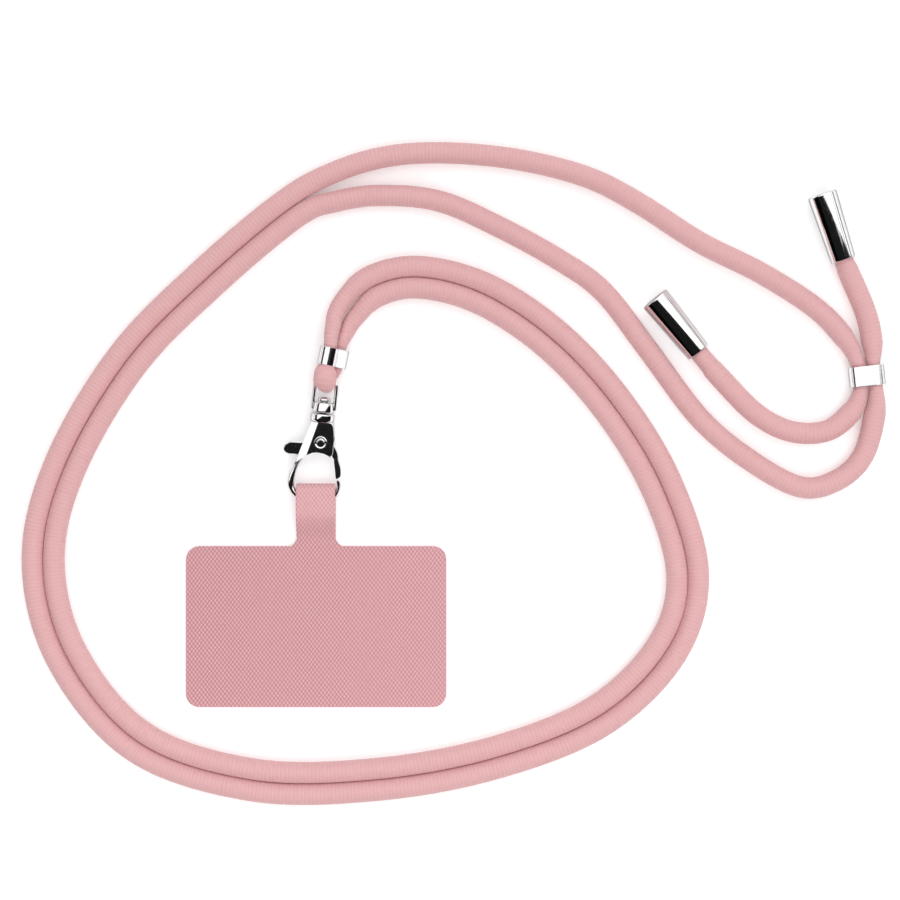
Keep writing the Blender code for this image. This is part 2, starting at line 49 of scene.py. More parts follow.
CARD_THICKNESS = 0.001
CARD_CORNER = 0.0035
TAB_WIDTH = 0.0102
TAB_LENGTH = 0.0165
TAB_FILLET = 0.0015
POCKET_DEPTH = 0.0075
POCKET_ROOM = 0.0025
CORD_DIAMETER = 0.0052
CORD_PAIR_SPACING = 0.0056
BAND_WALL = 0.0004
SLIDER_LENGTH = 0.0052
CLAMP_LENGTH = 0.0047
CAP_LENGTH = 0.018
CAP_END_DIAMETER = 0.0076
CAP_MOUTH_DIAMETER = 0.0064
CAP_BORE_DEPTH = 0.0115
HOOK_RADIUS = 0.0065
HOOK_THICKNESS = 0.0016
BODY_THICKNESS = 0.004
BODY_LENGTH = 0.0125
LEVER_THICKNESS = 0.0015
LEVER_REACH = 0.0104
THUMB_LENGTH = 0.0096
THUMB_WIDTH = 0.0029
RIVET_HEAD_DIAMETER = 0.0034
RIVET_HEAD_HEIGHT = 0.0004
COLLAR_DIAMETER = 0.0062
COLLAR_LENGTH = 0.002
POST_DIAMETER = 0.0018
POST_HEAD_DIAMETER = 0.0034
POST_HEAD_LENGTH = 0.0011
EYE_BASE_DIAMETER = 0.0056
EYE_BASE_LENGTH = 0.0026
EYE_WIRE_DIAMETER = 0.001
EYE_WIDTH = 0.0067
EYE_LENGTH = 0.0072

# Where the strap lies: one photo pixel in metres, the pixel that the origin stands at, how the clasp
# lies, where its pivot is, and how far its body reaches above that as a share of the body's length
PIXEL = 0.00026
ORIGIN_PIXEL = (315.5, 627.5)
CLASP_PIXEL = (315.5, 483.0)
CLASP_TURN = math.radians(-6.1)
CLASP_PITCH = math.radians(3.65)
CLASP_LIFT = 0.00015
PIVOT_SIDE = 0.0003
PIVOT_ALONG = 0.0107
BODY_TOP = 0.44
SLIDER_PIXEL = (867.1, 376.0)
SLIDER_DOWN_PIXEL = (868.2, 386.0)
CLAMP_PIXEL = (333.0, 357.6)
CLAMP_DOWN_PIXEL = (330.6, 369.6)
CLAMP_ROLL = math.radians(52)
FIRST_CAP_PIXELS = ((843.5, 260.0), (822.0, 195.0))
SECOND_CAP_PIXELS = ((698.5, 352.0), (654.5, 298.5))

# How much the cord is squeezed, as shares of its diameter
SLIDER_SQUEEZE = 0.72
CLAMP_SQUEEZE = 0.66
CAP_SQUEEZE = 0.92
# How much wider the cord lies where it is free, which it is above the given share
CORD_SPREAD = 1.075
FREE_SHARE = 0.97
# How far apart the cord's rings are, as a share of its diameter, and the points of each
CORD_STEP = 0.2
CORD_SIDES = 28

# The cord's route: pixel across, pixel down, height of the centreline in cord radii, squeeze
FROM_FIRST_CAP = [
    (831.8, 226.0, 1.33, CAP_SQUEEZE),
    (841.6, 254.0, 1.24, CAP_SQUEEZE),
    (850.0, 274.0, 1.05, 1.0),
    (866.5, 313.0, 1.0, 1.0),
    (873.0, 344.0, 1.04, 0.98),
    (873.4, 362.0, 1.1, SLIDER_SQUEEZE),
    (874.8, 375.2, 1.1, SLIDER_SQUEEZE),
    (876.4, 389.2, 1.1, SLIDER_SQUEEZE),
    (875.8, 412.0, 1.0, 1.0),
    (864.0, 455.0, 1.0, 1.0),
    (838.0, 480.0, 1.0, 1.0),
    (801.0, 487.0, 1.0, 1.0),
    (750.0, 460.0, 1.0, 1.0),
    (700.0, 418.0, 1.0, 1.0),
    (648.0, 349.0, 1.0, 1.0),
    (604.0, 292.0, 1.0, 1.0),
    (560.0, 260.0, 1.0, 1.0),
    (500.0, 227.0, 1.0, 1.0),
    (440.0, 201.0, 1.0, 1.0),
    (382.0, 195.0, 1.0, 1.0),
    (336.0, 201.0, 1.0, 1.0),
]
# The line between the two strands: pixel across, pixel down, the outer and the inner strand's
# height in cord radii, squeeze, and their spacing's share
BETWEEN_STRANDS = [
    (290.0, 208.5, 1.0, 1.0, 1.0, 1.0),
    (206.0, 279.0, 1.0, 1.0, 1.0, 1.0),
    (127.0, 360.0, 1.0, 1.0, 1.0, 1.0),
    (65.0, 465.0, 1.0, 1.0, 1.0, 1.0),
    (42.5, 560.0, 1.0, 1.0, 1.0, 1.0),
    (66.0, 656.0, 1.0, 1.0, 1.0, 1.0),
    (138.0, 742.0, 1.0, 1.0, 1.0, 1.0),
    (250.0, 780.0, 1.0, 1.0, 1.0, 1.0),
    (370.0, 780.5, 1.0, 1.0, 1.0, 1.0),
    (490.0, 759.5, 1.0, 1.0, 1.0, 1.0),
    (598.0, 717.0, 1.0, 1.0, 1.0, 1.0),
    (667.0, 650.0, 1.0, 1.0, 1.0, 1.0),
    (688.0, 575.0, 1.0, 1.0, 1.0, 1.0),
    (662.0, 486.0, 1.0, 1.0, 1.0, 1.0),
    (613.0, 405.0, 1.0, 1.0, 1.0, 1.0),
    (552.0, 339.0, 1.0, 1.0, 1.0, 1.0),
    (484.0, 294.0, 1.0, 1.0, 1.0, 1.0),
    (420.0, 277.0, 1.0, 1.0, 1.0, 1.0),
    (374.0, 286.0, 1.1, 1.0, 1.0, 1.0),
    (348.0, 311.0, 1.5, 1.0, 0.92, 0.9),
    (339.0, 332.0, 1.95, 1.0, 0.78, 0.62),
]
TO_SECOND_CAP = [
    (336.0, 171.0, 1.0, 1.0),
    (390.0, 155.5, 1.0, 1.0),
    (450.0, 152.5, 1.0, 1.0),
    (520.0, 159.5, 1.0, 1.0),
    (588.0, 177.0, 1.0, 1.0),
    (640.0, 203.5, 1.0, 1.0),
    (700.0, 242.0, 1.0, 1.0),
    (760.0, 272.0, 1.0, 1.0),
    (815.0, 307.0, 1.0, 1.0),
    (845.0, 338.0, 1.04, 0.98),
    (857.9, 362.9, 1.1, SLIDER_SQUEEZE),
    (859.4, 376.9, 1.1, SLIDER_SQUEEZE),
    (860.9, 390.8, 1.1, SLIDER_SQUEEZE),
    (852.5, 411.0, 1.0, 1.0),
    (828.0, 430.5, 1.0, 1.0),
    (792.0, 431.5, 1.0, 1.0),
    (757.0, 414.0, 1.0, 1.0),
    (722.0, 379.0, 1.05, 1.0),
    (700.5, 354.5, 1.24, CAP_SQUEEZE),
    (676.5, 325.5, 1.33, CAP_SQUEEZE),
]
# The turn round the eye's bar: degrees round it, and the cord's width as a share of its diameter
TURN_SECTIONS = [(-92, 0.74), (-55, 0.72), (-18, 0.76), (18, 0.88), (40, 1.04), (62, 1.08), (92, 1.05)]
# The cord's width and thickness where it swells below the clamp, as shares of its diameter
SWOLLEN_SECTION = (0.95, 0.85)


def photo_place(pixel, height=0.0):
    """The place on the surface that a photo pixel shows."""
    across = (pixel[0] - ORIGIN_PIXEL[0]) * PIXEL
    up = (ORIGIN_PIXEL[1] - pixel[1]) * PIXEL
    return Vector((across, up, height))


def smooth_point(before, first, second, after, share):
    """A point on the Catmull-Rom curve between first and second, for rows of any length."""
    made = []
    for a, b, c, d in zip(before, first, second, after):
        slope_in, slope_out = (c - a) / 2, (d - b) / 2
        cubic = 2 * b - 2 * c + slope_in + slope_out
        square = 3 * c - 3 * b - 2 * slope_in - slope_out
        made.append(((cubic * share + square) * share + slope_in) * share + b)
    return made


def smooth_rows(rows, step, axes=3):
    """Rows on a smooth curve through the given rows, about a step apart."""
    made = []
    for index in range(len(rows) - 1):
        first, second = rows[index], rows[index + 1]
        before = rows[max(index - 1, 0)]
        after = rows[min(index + 2, len(rows) - 1)]
        length = math.dist(first[:axes], second[:axes])
        parts = max(1, round(length / step))
        made += [smooth_point(before, first, second, after, part / parts) for part in range(parts)]
    return made + [list(rows[-1])]


def arc(centre, radius, first_degrees, last_degrees, steps):
    """Points on an arc, both ends included."""
    spread = last_degrees - first_degrees
    angles = [math.radians(first_degrees + spread * step / steps) for step in range(steps + 1)]
    return [(centre[0] + radius * math.cos(a), centre[1] + radius * math.sin(a)) for a in angles]


def band_frame(middle, downward, height):
    """A frame at a band's middle, with Y against the cord's direction of travel down the photo."""
    along = photo_place(middle) - photo_place(downward)
    turn = math.atan2(along.y, along.x) - math.pi / 2
    return Matrix.Translation(photo_place(middle, height)) @ Matrix.Rotation(turn, 4, "Z")


def strand_offset(squeeze):
    """From a band's middle to the centre of each of its two strands."""
    return CORD_DIAMETER / 2 * squeeze + GAP / 2


clasp_height = CARD_THICKNESS + POCKET_ROOM / 2 + CLASP_LIFT
clasp_frame = (
    Matrix.Translation(photo_place(CLASP_PIXEL, clasp_height))
    @ Matrix.Rotation(CLASP_TURN, 4, "Z")
    @ Matrix.Rotation(CLASP_PITCH, 4, "X")
)
to_pivot = Matrix.Translation((PIVOT_SIDE, PIVOT_ALONG, 0))
upright = Matrix.Rotation(math.radians(-90), 4, "X")
body_top = PIVOT_ALONG + BODY_LENGTH * BODY_TOP
collar_top = body_top + COLLAR_LENGTH
eye_base_low = collar_top + GAP
eye_base_top = eye_base_low + EYE_BASE_LENGTH
eye_arch_radius = (EYE_WIDTH - EYE_WIRE_DIAMETER) / 2
eye_bar_along = eye_base_top + EYE_LENGTH - EYE_WIRE_DIAMETER / 2
clamp_radius = CORD_DIAMETER / 2 * CLAMP_SQUEEZE
bar_place = clasp_frame @ Vector((0, eye_bar_along, 0))
clamp_frame = band_frame(CLAMP_PIXEL, CLAMP_DOWN_PIXEL, bar_place.z)
clamp_frame = clamp_frame @ Matrix.Rotation(CLAMP_ROLL, 4, "Y")
slider_height = CORD_DIAMETER / 2 * SLIDER_SQUEEZE + GAP * 1.4 + BAND_WALL
slider_frame = band_frame(SLIDER_PIXEL, SLIDER_DOWN_PIXEL, slider_height)


# Camera
CAMERA_PIXEL = (450.0, 450.0)
CAMERA_LENS = 85.0
PHOTO_WIDTH = 900 * PIXEL
CORD_TOP = 0.0035


def build_camera():
    """Straight down, as in the photo, with the photo's width across the cord's upper side."""
    lens = bpy.data.cameras.new("camera")
    lens.lens = CAMERA_LENS
    camera = bpy.data.objects.new("camera", lens)
    height = PHOTO_WIDTH * CAMERA_LENS / lens.sensor_width
    camera.location = photo_place(CAMERA_PIXEL, CORD_TOP + height)
    lens.clip_start = height / 20
    lens.clip_end = height * 20
    bpy.context.scene.collection.objects.link(camera)
    bpy.context.scene.camera = camera


# Materials


class Nodes:
    """Short ways to add a material's nodes."""

    def __init__(self, name):
        self.material = bpy.data.materials.new(name)
        self.material.use_nodes = True
        self.tree = self.material.node_tree
        self.shader = self.tree.nodes["Principled BSDF"]

    def put(self, socket, value):
        """Links a socket to another, or gives it a plain value."""
        if isinstance(value, bpy.types.NodeSocket):
            self.tree.links.new(value, socket)
        elif value is not None:
            socket.default_value = value

    def math(self, operation, first, second=None, third=None):
        node = self.tree.nodes.new("ShaderNodeMath")
        node.operation = operation
        for socket, value in zip(node.inputs, (first, second, third)):
            self.put(socket, value)
        return node.outputs[0]

    def coordinates(self, kind="UV"):
        return self.tree.nodes.new("ShaderNodeTexCoord").outputs[kind]

    def split(self, vector):
        node = self.tree.nodes.new("ShaderNodeSeparateXYZ")
        self.put(node.inputs[0], vector)
        return node.outputs

    def noise(self, vector, scale, detail=3.0, roughness=0.5):
        node = self.tree.nodes.new("ShaderNodeTexNoise")
        self.put(node.inputs["Vector"], vector)
        self.put(node.inputs["Scale"], scale)
        self.put(node.inputs["Detail"], detail)
        self.put(node.inputs["Roughness"], roughness)
        return node.outputs["Fac"]

    def ramp(self, value, stops):
        """A blend between two stops, each a position and a colour."""
        node = self.tree.nodes.new("ShaderNodeValToRGB")
        for element, (place, colour) in zip(node.color_ramp.elements, stops):
            element.position = place
            element.color = (*colour, 1.0)
        self.put(node.inputs[0], value)
        return node.outputs[0]

    def mix(self, share, first, second):
        node = self.tree.nodes.new("ShaderNodeMix")
        node.data_type = "RGBA"
        self.put(node.inputs["Factor"], share)
        self.put(node.inputs[6], first)
        self.put(node.inputs[7], second)
        return node.outputs[2]

    def bump(self, height, distance, strength=1.0):
        node = self.tree.nodes.new("ShaderNodeBump")
        self.put(node.inputs["Height"], height)
        self.put(node.inputs["Distance"], distance)
        self.put(node.inputs["Strength"], strength)
        return node.outputs[0]

    def set(self, **values):
        """Sets the shader's inputs by their names, and gives the material."""
        for name, value in values.items():
            self.put(self.shader.inputs[name.replace("_", " ")], value)
        return self.material


# The braid: cells round the cord, a cell's length along it, threads in a cell, the distance between its
# ribs, and the ribs' share in the painted shade, which darkens the hollows between the yarns and between
# the ribs
BRAID_CELLS = 26
BRAID_LENGTH = 0.00062
BRAID_THREADS = 4
BRAID_DEPTH = 0.00008
RIB_PITCH = 0.00099
RIB_SHARE = 0.42
# The yarn's colour on its crowns, and the painted shade for the hollows between yarns and ribs
CORD_LIGHT = (0.736, 0.419, 0.426, 1.0)
CORD_HOLLOW_SHADE = (0.65, 0.363, 0.37, 1.0)
CORD_FUZZ = (0.9, 0.56, 0.57, 1.0)
CORD_PATCH = (0.62, 0.29, 0.31, 1.0)


def cord_cloth():
    """Two sets of yarns wound opposite ways, over and under each other, with shallow ribs across, and
    painted shade in the hollows between yarns and between ribs.
    """
    n = Nodes("cord_cloth")
    u, v, _ = n.split(n.coordinates())
    round_cells = n.math("MULTIPLY", u, BRAID_CELLS)
    along_cells = n.math("DIVIDE", v, BRAID_LENGTH)
    first = n.math("ADD", round_cells, along_cells)
    second = n.math("SUBTRACT", round_cells, along_cells)
    parity = n.math("ADD", n.math("FLOOR", first), n.math("FLOOR", second))
    first_on_top = n.math("MODULO", n.math("ABSOLUTE", parity), 2.0)
    bulges = []
    threads = []
    for across, along in ((first, second), (second, first)):
        crown = n.math("SINE", n.math("MULTIPLY", n.math("FRACT", across), math.pi))
        dip = n.math("SINE", n.math("MULTIPLY", n.math("FRACT", along), math.pi))
        dip = n.math("MULTIPLY_ADD", dip, 0.45, 0.55)
        bulges.append(n.math("MULTIPLY", n.math("POWER", crown, 0.6), dip))
        threads.append(n.math("SINE", n.math("MULTIPLY", across, 2 * math.pi * BRAID_THREADS)))
    second_on_top = n.math("SUBTRACT", 1.0, first_on_top)
    seen = []
    for one, other in (bulges, threads):
        other = n.math("MULTIPLY", other, second_on_top)
        seen.append(n.math("ADD", n.math("MULTIPLY", one, first_on_top), other))
    bulge, thread = seen
    place = n.coordinates("Object")
    fuzz = n.noise(place, 5200, 3.0, 0.65)
    patches = n.noise(place, 130, 2.0)
    sway = n.math("MULTIPLY", n.math("SUBTRACT", n.noise(place, 260, 2.0), 0.5), 0.8)
    rib = n.math("SINE", n.math("ADD", n.math("MULTIPLY", v, 2 * math.pi / RIB_PITCH), sway))
    rib = n.math("MULTIPLY_ADD", rib, 0.5, 0.5)
    height = n.math("MULTIPLY_ADD", thread, 0.05, n.math("MULTIPLY_ADD", fuzz, 0.2, rib))
    height = n.math("MULTIPLY_ADD", bulge, 0.3, height)
    # Painted shade: the colour darkens from the yarn's crowns into the hollows between yarns and between
    # ribs
    shade = n.math("MULTIPLY_ADD", rib, RIB_SHARE, n.math("MULTIPLY", bulge, 1 - RIB_SHARE))
    colour = n.mix(shade, CORD_HOLLOW_SHADE, CORD_LIGHT)
    colour = n.mix(n.math("MULTIPLY", fuzz, 0.22), colour, CORD_FUZZ)
    colour = n.mix(n.math("MULTIPLY", patches, 0.16), colour, CORD_PATCH)
    return n.set(
        Base_Color=colour,
        Roughness=n.math("MULTIPLY_ADD", fuzz, 0.2, 0.62),
        Normal=n.bump(height, BRAID_DEPTH),
        Sheen_Weight=0.25,
        Sheen_Roughness=0.5,
        Specular_IOR_Level=0.25,
    )


# The card's weave: the distance between its dots across and along, the slant of its rows, how deep the
# painted shade in the gaps between its dots is at the card's middle, and how much of that it loses from
# the left edge to the right
WEAVE_ACROSS = 0.001024
WEAVE_ALONG = 0.001361
WEAVE_SLANT = 0.063
WEAVE_DEPTH = 0.00013
WEAVE_SHADE = 0.9
WEAVE_SHADE_DROP = 0.2
# The yarn's colour on the dots, and the painted shade for the gaps between them
CARD_LIGHT = (0.81, 0.455, 0.485, 1.0)
CARD_GAP_SHADE = (0.419, 0.195, 0.211, 1.0)
CARD_FUZZ = (0.86, 0.48, 0.5, 1.0)
CARD_PATCH = (0.6, 0.28, 0.31, 1.0)
# Painted light: the tab is coloured lighter than the rest of the card
TAB_PAINTED_LIGHT = (0.95, 0.57, 0.58, 1.0)


def card_cloth():
    """A basket weave set diagonally: raised dots in rows, with painted shade in the gaps between them,
    and painted light on the tab.
    """
    n = Nodes("card_cloth")
    u, v, _ = n.split(n.coordinates())
    place = n.coordinates("Object")
    sway = n.math("MULTIPLY", n.math("SUBTRACT", n.noise(place, 160, 2.0), 0.5), 0.00022)
    across = n.math("DIVIDE", n.math("ADD", u, sway), WEAVE_ACROSS)
    slanted = n.math("MULTIPLY_ADD", u, -WEAVE_SLANT, n.math("ADD", v, sway))
    along = n.math("DIVIDE", slanted, WEAVE_ALONG)
    dots = n.math("MULTIPLY", n.math("SINE", n.math("MULTIPLY", across, math.pi * 2)),
                  n.math("SINE", n.math("MULTIPLY", along, math.pi * 2)))
    dots = n.math("MULTIPLY_ADD", dots, 0.5, 0.5)
    threads = n.math("SINE", n.math("MULTIPLY", n.math("ADD", across, along), math.pi * 8))
    fuzz = n.noise(place, 4600, 3.0, 0.65)
    patches = n.noise(place, 55, 2.0)
    height = n.math("MULTIPLY_ADD", threads, 0.06, n.math("MULTIPLY_ADD", fuzz, 0.25, dots))
    # Painted shade in the gaps between the dots, deepest at the card's left edge
    shade = n.ramp(dots, [(0.3, (0.0,) * 3), (0.95, (1.0,) * 3)])
    depth = n.math("MULTIPLY_ADD", u, -WEAVE_SHADE_DROP / CARD_WIDTH, WEAVE_SHADE)
    shade = n.math("MULTIPLY_ADD", shade, depth, n.math("SUBTRACT", 1.0, depth))
    colour = n.mix(shade, CARD_GAP_SHADE, CARD_LIGHT)
    colour = n.mix(n.math("MULTIPLY", fuzz, 0.25), colour, CARD_FUZZ)
    colour = n.mix(n.math("MULTIPLY", patches, 0.3), colour, CARD_PATCH)
    # Painted light: the tab grows lighter from the card's edge up to half its length
    tab = n.math("MULTIPLY_ADD", v, 1 / TAB_LENGTH, -CARD_HEIGHT / 2 / TAB_LENGTH)
    tab = n.math("MULTIPLY", n.math("MINIMUM", n.math("MAXIMUM", tab, 0.0), 0.5), 0.5)
    colour = n.mix(tab, colour, TAB_PAINTED_LIGHT)
    return n.set(
        Base_Color=colour,
        Roughness=n.math("MULTIPLY_ADD", fuzz, 0.2, 0.6),
        Normal=n.bump(height, WEAVE_DEPTH),
        Sheen_Weight=0.2,
        Sheen_Roughness=0.5,
        Specular_IOR_Level=0.25,
    )


# The plating: its two tones, its tint at grazing angles, and the depth of its smears
METAL_DARK = (0.8, 0.8, 0.81)
METAL_LIGHT = (0.93, 0.93, 0.925)
METAL_EDGE = (0.12, 0.12, 0.125, 1.0)
SMEAR_DEPTH = 0.000012


def polished_metal():
    """Polished plating with faint smears and hair scratches."""
    n = Nodes("polished_metal")
    place = n.coordinates("Object")
    smears = n.noise(place, 420, 4.0, 0.6)
    scratches = n.noise(place, 9000, 2.0, 0.7)
    tone = n.ramp(smears, [(0.25, METAL_DARK), (0.75, METAL_LIGHT)])
    return n.set(
        Base_Color=tone,
        Metallic=1.0,
        Specular_Tint=METAL_EDGE,
        Roughness=n.math("MULTIPLY_ADD", smears, 0.07, 0.045),
        Normal=n.bump(n.math("MULTIPLY_ADD", scratches, 0.12, smears), SMEAR_DEPTH, 0.6),
    )


# Shapes
# Edges sharper than this keep their crease, and faces with more corners than this stay flat
SHARP_ANGLE = math.radians(42)
SMOOTH_CORNERS = 4


def add_piece(name, shape, finish, body, node):
    """Makes a piece from a bmesh, which stands for a solid and moves with its body."""
    bmesh.ops.recalc_face_normals(shape, faces=shape.faces)
    mesh = bpy.data.meshes.new(name)
    shape.to_mesh(mesh)
    shape.free()
    mesh.shade_smooth()
    mesh.set_sharp_from_angle(angle=SHARP_ANGLE)
    for face in mesh.polygons:
        face.use_smooth = len(face.vertices) <= SMOOTH_CORNERS
    mesh.materials.append(finish)
    piece = bpy.data.objects.new(name, mesh)
    bpy.context.scene.collection.objects.link(piece)
    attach(piece, body)
    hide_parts(node)
    return piece


def add_prism(shape, outline, low, high, bevel=0.0):
    """Adds a closed solid over an outline, with rounded upper and lower edges."""
    lower = [shape.verts.new((x, y, low)) for x, y in outline]
    upper = [shape.verts.new((x, y, high)) for x, y in outline]
    for step in range(len(outline)):
        after = (step + 1) % len(outline)
        shape.faces.new((lower[step], lower[after], upper[after], upper[step]))
    caps = [shape.faces.new(lower[::-1]), shape.faces.new(upper)]
    rims = [edge for cap in caps for edge in cap.edges]
    if bevel:
        bmesh.ops.bevel(
            shape, geom=rims, offset=bevel, offset_type="OFFSET",
            segments=3, profile=0.5, affect="EDGES", clamp_overlap=True,
        )


def add_turned(shape, profile, sides, matrix):
    """Adds a solid turned about Z. The profile's (radius, height) points start and end on the axis."""
    rings = []
    for radius, height in profile:
        if radius == 0:
            rings.append([shape.verts.new(matrix @ Vector((0, 0, height)))])
            continue
        ring = []
        for step in range(sides):
            angle = 2 * math.pi * step / sides
            place = Vector((radius * math.cos(angle), radius * math.sin(angle), height))
            ring.append(shape.verts.new(matrix @ place))
        rings.append(ring)
    for first, second in zip(rings, rings[1:]):
        for step in range(sides):
            after = (step + 1) % sides
            corners = [first[step % len(first)], second[step % len(second)]]
            corners += [second[after % len(second)], first[after % len(first)]]
            shape.faces.new(list(dict.fromkeys(corners)))


def add_loft(shape, rings):
    """Adds a skin over rings of points, with its ends filled."""
    made = [[shape.verts.new(place) for place in ring] for ring in rings]
    sides = len(made[0])
    for first, second in zip(made, made[1:]):
        for step in range(sides):
            after = (step + 1) % sides
            shape.faces.new((first[step], first[after], second[after], second[step]))
    shape.faces.new(made[0][::-1])
    shape.faces.new(made[-1])


def strip_section(half, low, high, rim):
    """The cross-section of a sheet's strip with cut corners: across and up, from the lower left."""
    lower = [(-half, low + rim), (-half + rim, low), (half - rim, low), (half, low + rim)]
    upper = [(half, high - rim), (half - rim, high), (-half + rim, high), (-half, high - rim)]
    return lower + upper


def rounded_profile(points, radius, steps=4):
    """A profile with each inner corner rounded by up to the given radius."""
    made = [points[0]]
    for before, corner, after in zip(points, points[1:], points[2:]):
        here = Vector(corner)
        back, ahead = Vector(before) - here, Vector(after) - here
        cut = min(radius, back.length * 0.45, ahead.length * 0.45)
        start, end = here + back.normalized() * cut, here + ahead.normalized() * cut
        for step in range(steps + 1):
            share = step / steps
            place = start * (1 - share) ** 2 + here * 2 * share * (1 - share) + end * share**2
            made.append((max(place.x, 0.0), place.y))
    return made + [points[-1]]


# The cord


def free_rows(rows):
    """Route rows as x, y, z, width and thickness shares, in metres."""
    made = []
    for across, down, lift, squeeze in rows:
        made.append([*photo_place((across, down), lift * CORD_DIAMETER / 2), squeeze, squeeze])
    return made


def strand_rows(side):
    """One strand of the pair, on the given side of the line between the strands."""
    line = [photo_place((row[0], row[1])) for row in BETWEEN_STRANDS]
    line.append(photo_place(CLAMP_PIXEL))
    made = []
    for index, (_, _, outer_lift, inner_lift, squeeze, spacing) in enumerate(BETWEEN_STRANDS):
        lift = inner_lift if side > 0 else outer_lift
        run = line[index + 1] - line[max(index - 1, 0)]
        across = Vector((-run.y, run.x, 0)).normalized()
        place = line[index] + across * side * spacing * CORD_PAIR_SPACING / 2
        made.append([place.x, place.y, lift * CORD_DIAMETER / 2, squeeze, squeeze])
    return made


def turn_rows():
    """Down one side of the clamp, round the eye's bar, and up the other side."""
    offset = strand_offset(CLAMP_SQUEEZE)
    reach = CLAMP_LENGTH * 0.62
    left = [clamp_frame @ Vector((-offset, step, 0)) for step in (reach, -reach * 0.73)]
    swollen = clamp_frame @ Vector((-offset, -reach, 0))
    right = [clamp_frame @ Vector((offset, step, 0)) for step in (reach, -reach)]
    round_bar = EYE_WIRE_DIAMETER / 2 + GAP + clamp_radius
    down = (clasp_frame.translation - bar_place).normalized()
    side_room = EYE_WIDTH / 2 - EYE_WIRE_DIAMETER - clamp_radius - GAP
    made = [[*place, CLAMP_SQUEEZE, CLAMP_SQUEEZE] for place in right]
    for degrees, width in TURN_SECTIONS:
        angle = math.radians(degrees)
        raised = Vector((-side_room, 0, round_bar)) * math.sin(angle)
        made.append([*(bar_place + down * round_bar * math.cos(angle) + raised), width, CLAMP_SQUEEZE])
    made.append([*swollen, *SWOLLEN_SECTION])
    return made + [[*place, CLAMP_SQUEEZE, CLAMP_SQUEEZE] for place in left[::-1]]


def cord_rows():
    """The whole route, from the first cap to the second."""
    inner = strand_rows(1)
    outer = strand_rows(-1)
    return free_rows(FROM_FIRST_CAP) + inner + turn_rows() + outer[::-1] + free_rows(TO_SECOND_CAP)


def build_cord(finish):
    """The braided cord as one tube, with the braid's place along it kept in its UV map."""
    rows = smooth_rows(cord_rows(), CORD_STEP * CORD_DIAMETER)
    places = [Vector(row[:3]) for row in rows]
    shape = bmesh.new()
    rings = []
    travelled = [0.0]
    side = Vector((1, 0, 0))
    for index, row in enumerate(rows):
        before, after = places[max(index - 1, 0)], places[min(index + 1, len(places) - 1)]
        tangent = (after - before).normalized()
        level = Vector((-tangent.y, tangent.x, 0))
        wanted = level.normalized() if level.length > 0.5 else side
        if wanted.dot(side) < 0 and index:
            wanted = -wanted
        side = (side * 0.6 + wanted * 0.4) if index else wanted
        side = (side - tangent * side.dot(tangent)).normalized()
        lift = tangent.cross(side)
        half_width = row[3] * CORD_DIAMETER / 2 * (CORD_SPREAD if row[3] > FREE_SHARE else 1.0)
        half_thickness = row[4] * CORD_DIAMETER / 2
        ring = []
        for step in range(CORD_SIDES):
            angle = 2 * math.pi * step / CORD_SIDES
            out = side * math.cos(angle) * half_width + lift * math.sin(angle) * half_thickness
            ring.append(places[index] + out)
        rings.append(ring)
        if index:
            travelled.append(travelled[-1] + (places[index] - places[index - 1]).length)
    add_loft(shape, rings)
    uv_map = shape.loops.layers.uv.new("UVMap")
    shape.faces.ensure_lookup_table()
    for index in range(len(rings) - 1):
        for step in range(CORD_SIDES):
            face = shape.faces[index * CORD_SIDES + step]
            corners = ((step, index), (step + 1, index), (step + 1, index + 1), (step, index + 1))
            for loop, (turn, ring_index) in zip(face.loops, corners):
                loop[uv_map].uv = (turn / CORD_SIDES, travelled[ring_index])
    piece = add_piece("braided_cord", shape, finish, "strap", "strap_cord")
    return piece, places, travelled[-1]


# The metal pieces on the cord


def build_cap(name, node, mouth_and_end, finish):
    """A tapered cap with a rounded lip, an open mouth that the cord goes into, and a shallow crown."""
    mouth, end = mouth_and_end
    mouth_radius, end_radius = CAP_MOUTH_DIAMETER / 2, CAP_END_DIAMETER / 2
    bore = CORD_DIAMETER / 2 * CAP_SQUEEZE + GAP * 0.4
    profile = [
        (0, CAP_BORE_DEPTH),
        (bore, CAP_BORE_DEPTH),
        (bore, 0),
        (mouth_radius, 0),
        (end_radius, CAP_LENGTH - GAP),
        (end_radius * 0.93, CAP_LENGTH),
        (end_radius * 0.5, CAP_LENGTH + GAP / 3),
        (0, CAP_LENGTH + GAP / 3),
    ]
    low, high = photo_place(mouth, mouth_radius), photo_place(end, end_radius)
    turn = (high - low).to_track_quat("Z", "Y").to_matrix().to_4x4()
    place = Matrix.Translation(low + Vector((0, 0, GAP / 3)))
    shape = bmesh.new()
    add_turned(shape, rounded_profile(profile, GAP), 72, place @ turn)
    return add_piece(name, shape, finish, "strap", node)


def band_point(offset, radius, along):
    """A point along a band's outline, from the middle of its upper side and round to the left."""
    straight = 2 * offset
    half_turn = math.pi * radius
    along = along % (2 * straight + 2 * half_turn)
    if along < offset:
        return Vector((-along, 0, radius))
    along -= offset
    if along < half_turn:
        angle = math.pi / 2 + along / radius
        return Vector((-offset + radius * math.cos(angle), 0, radius * math.sin(angle)))
    along -= half_turn
    if along < straight:
        return Vector((-offset + along, 0, -radius))
    along -= straight
    if along < half_turn:
        angle = -math.pi / 2 + along / radius
        return Vector((offset + radius * math.cos(angle), 0, radius * math.sin(angle)))
    along -= half_turn
    return Vector((offset - along, 0, radius))


# The bands' sheet: thickness, how far its end overlaps its start, its steps, and where each band's
# end lies, round from the middle of its upper side
SHEET_THICKNESS = 0.0003
OVERLAP = 0.0022
BAND_STEPS = 120
SLIDER_SEAM = 0.0032
CLAMP_SEAM = 0.0012


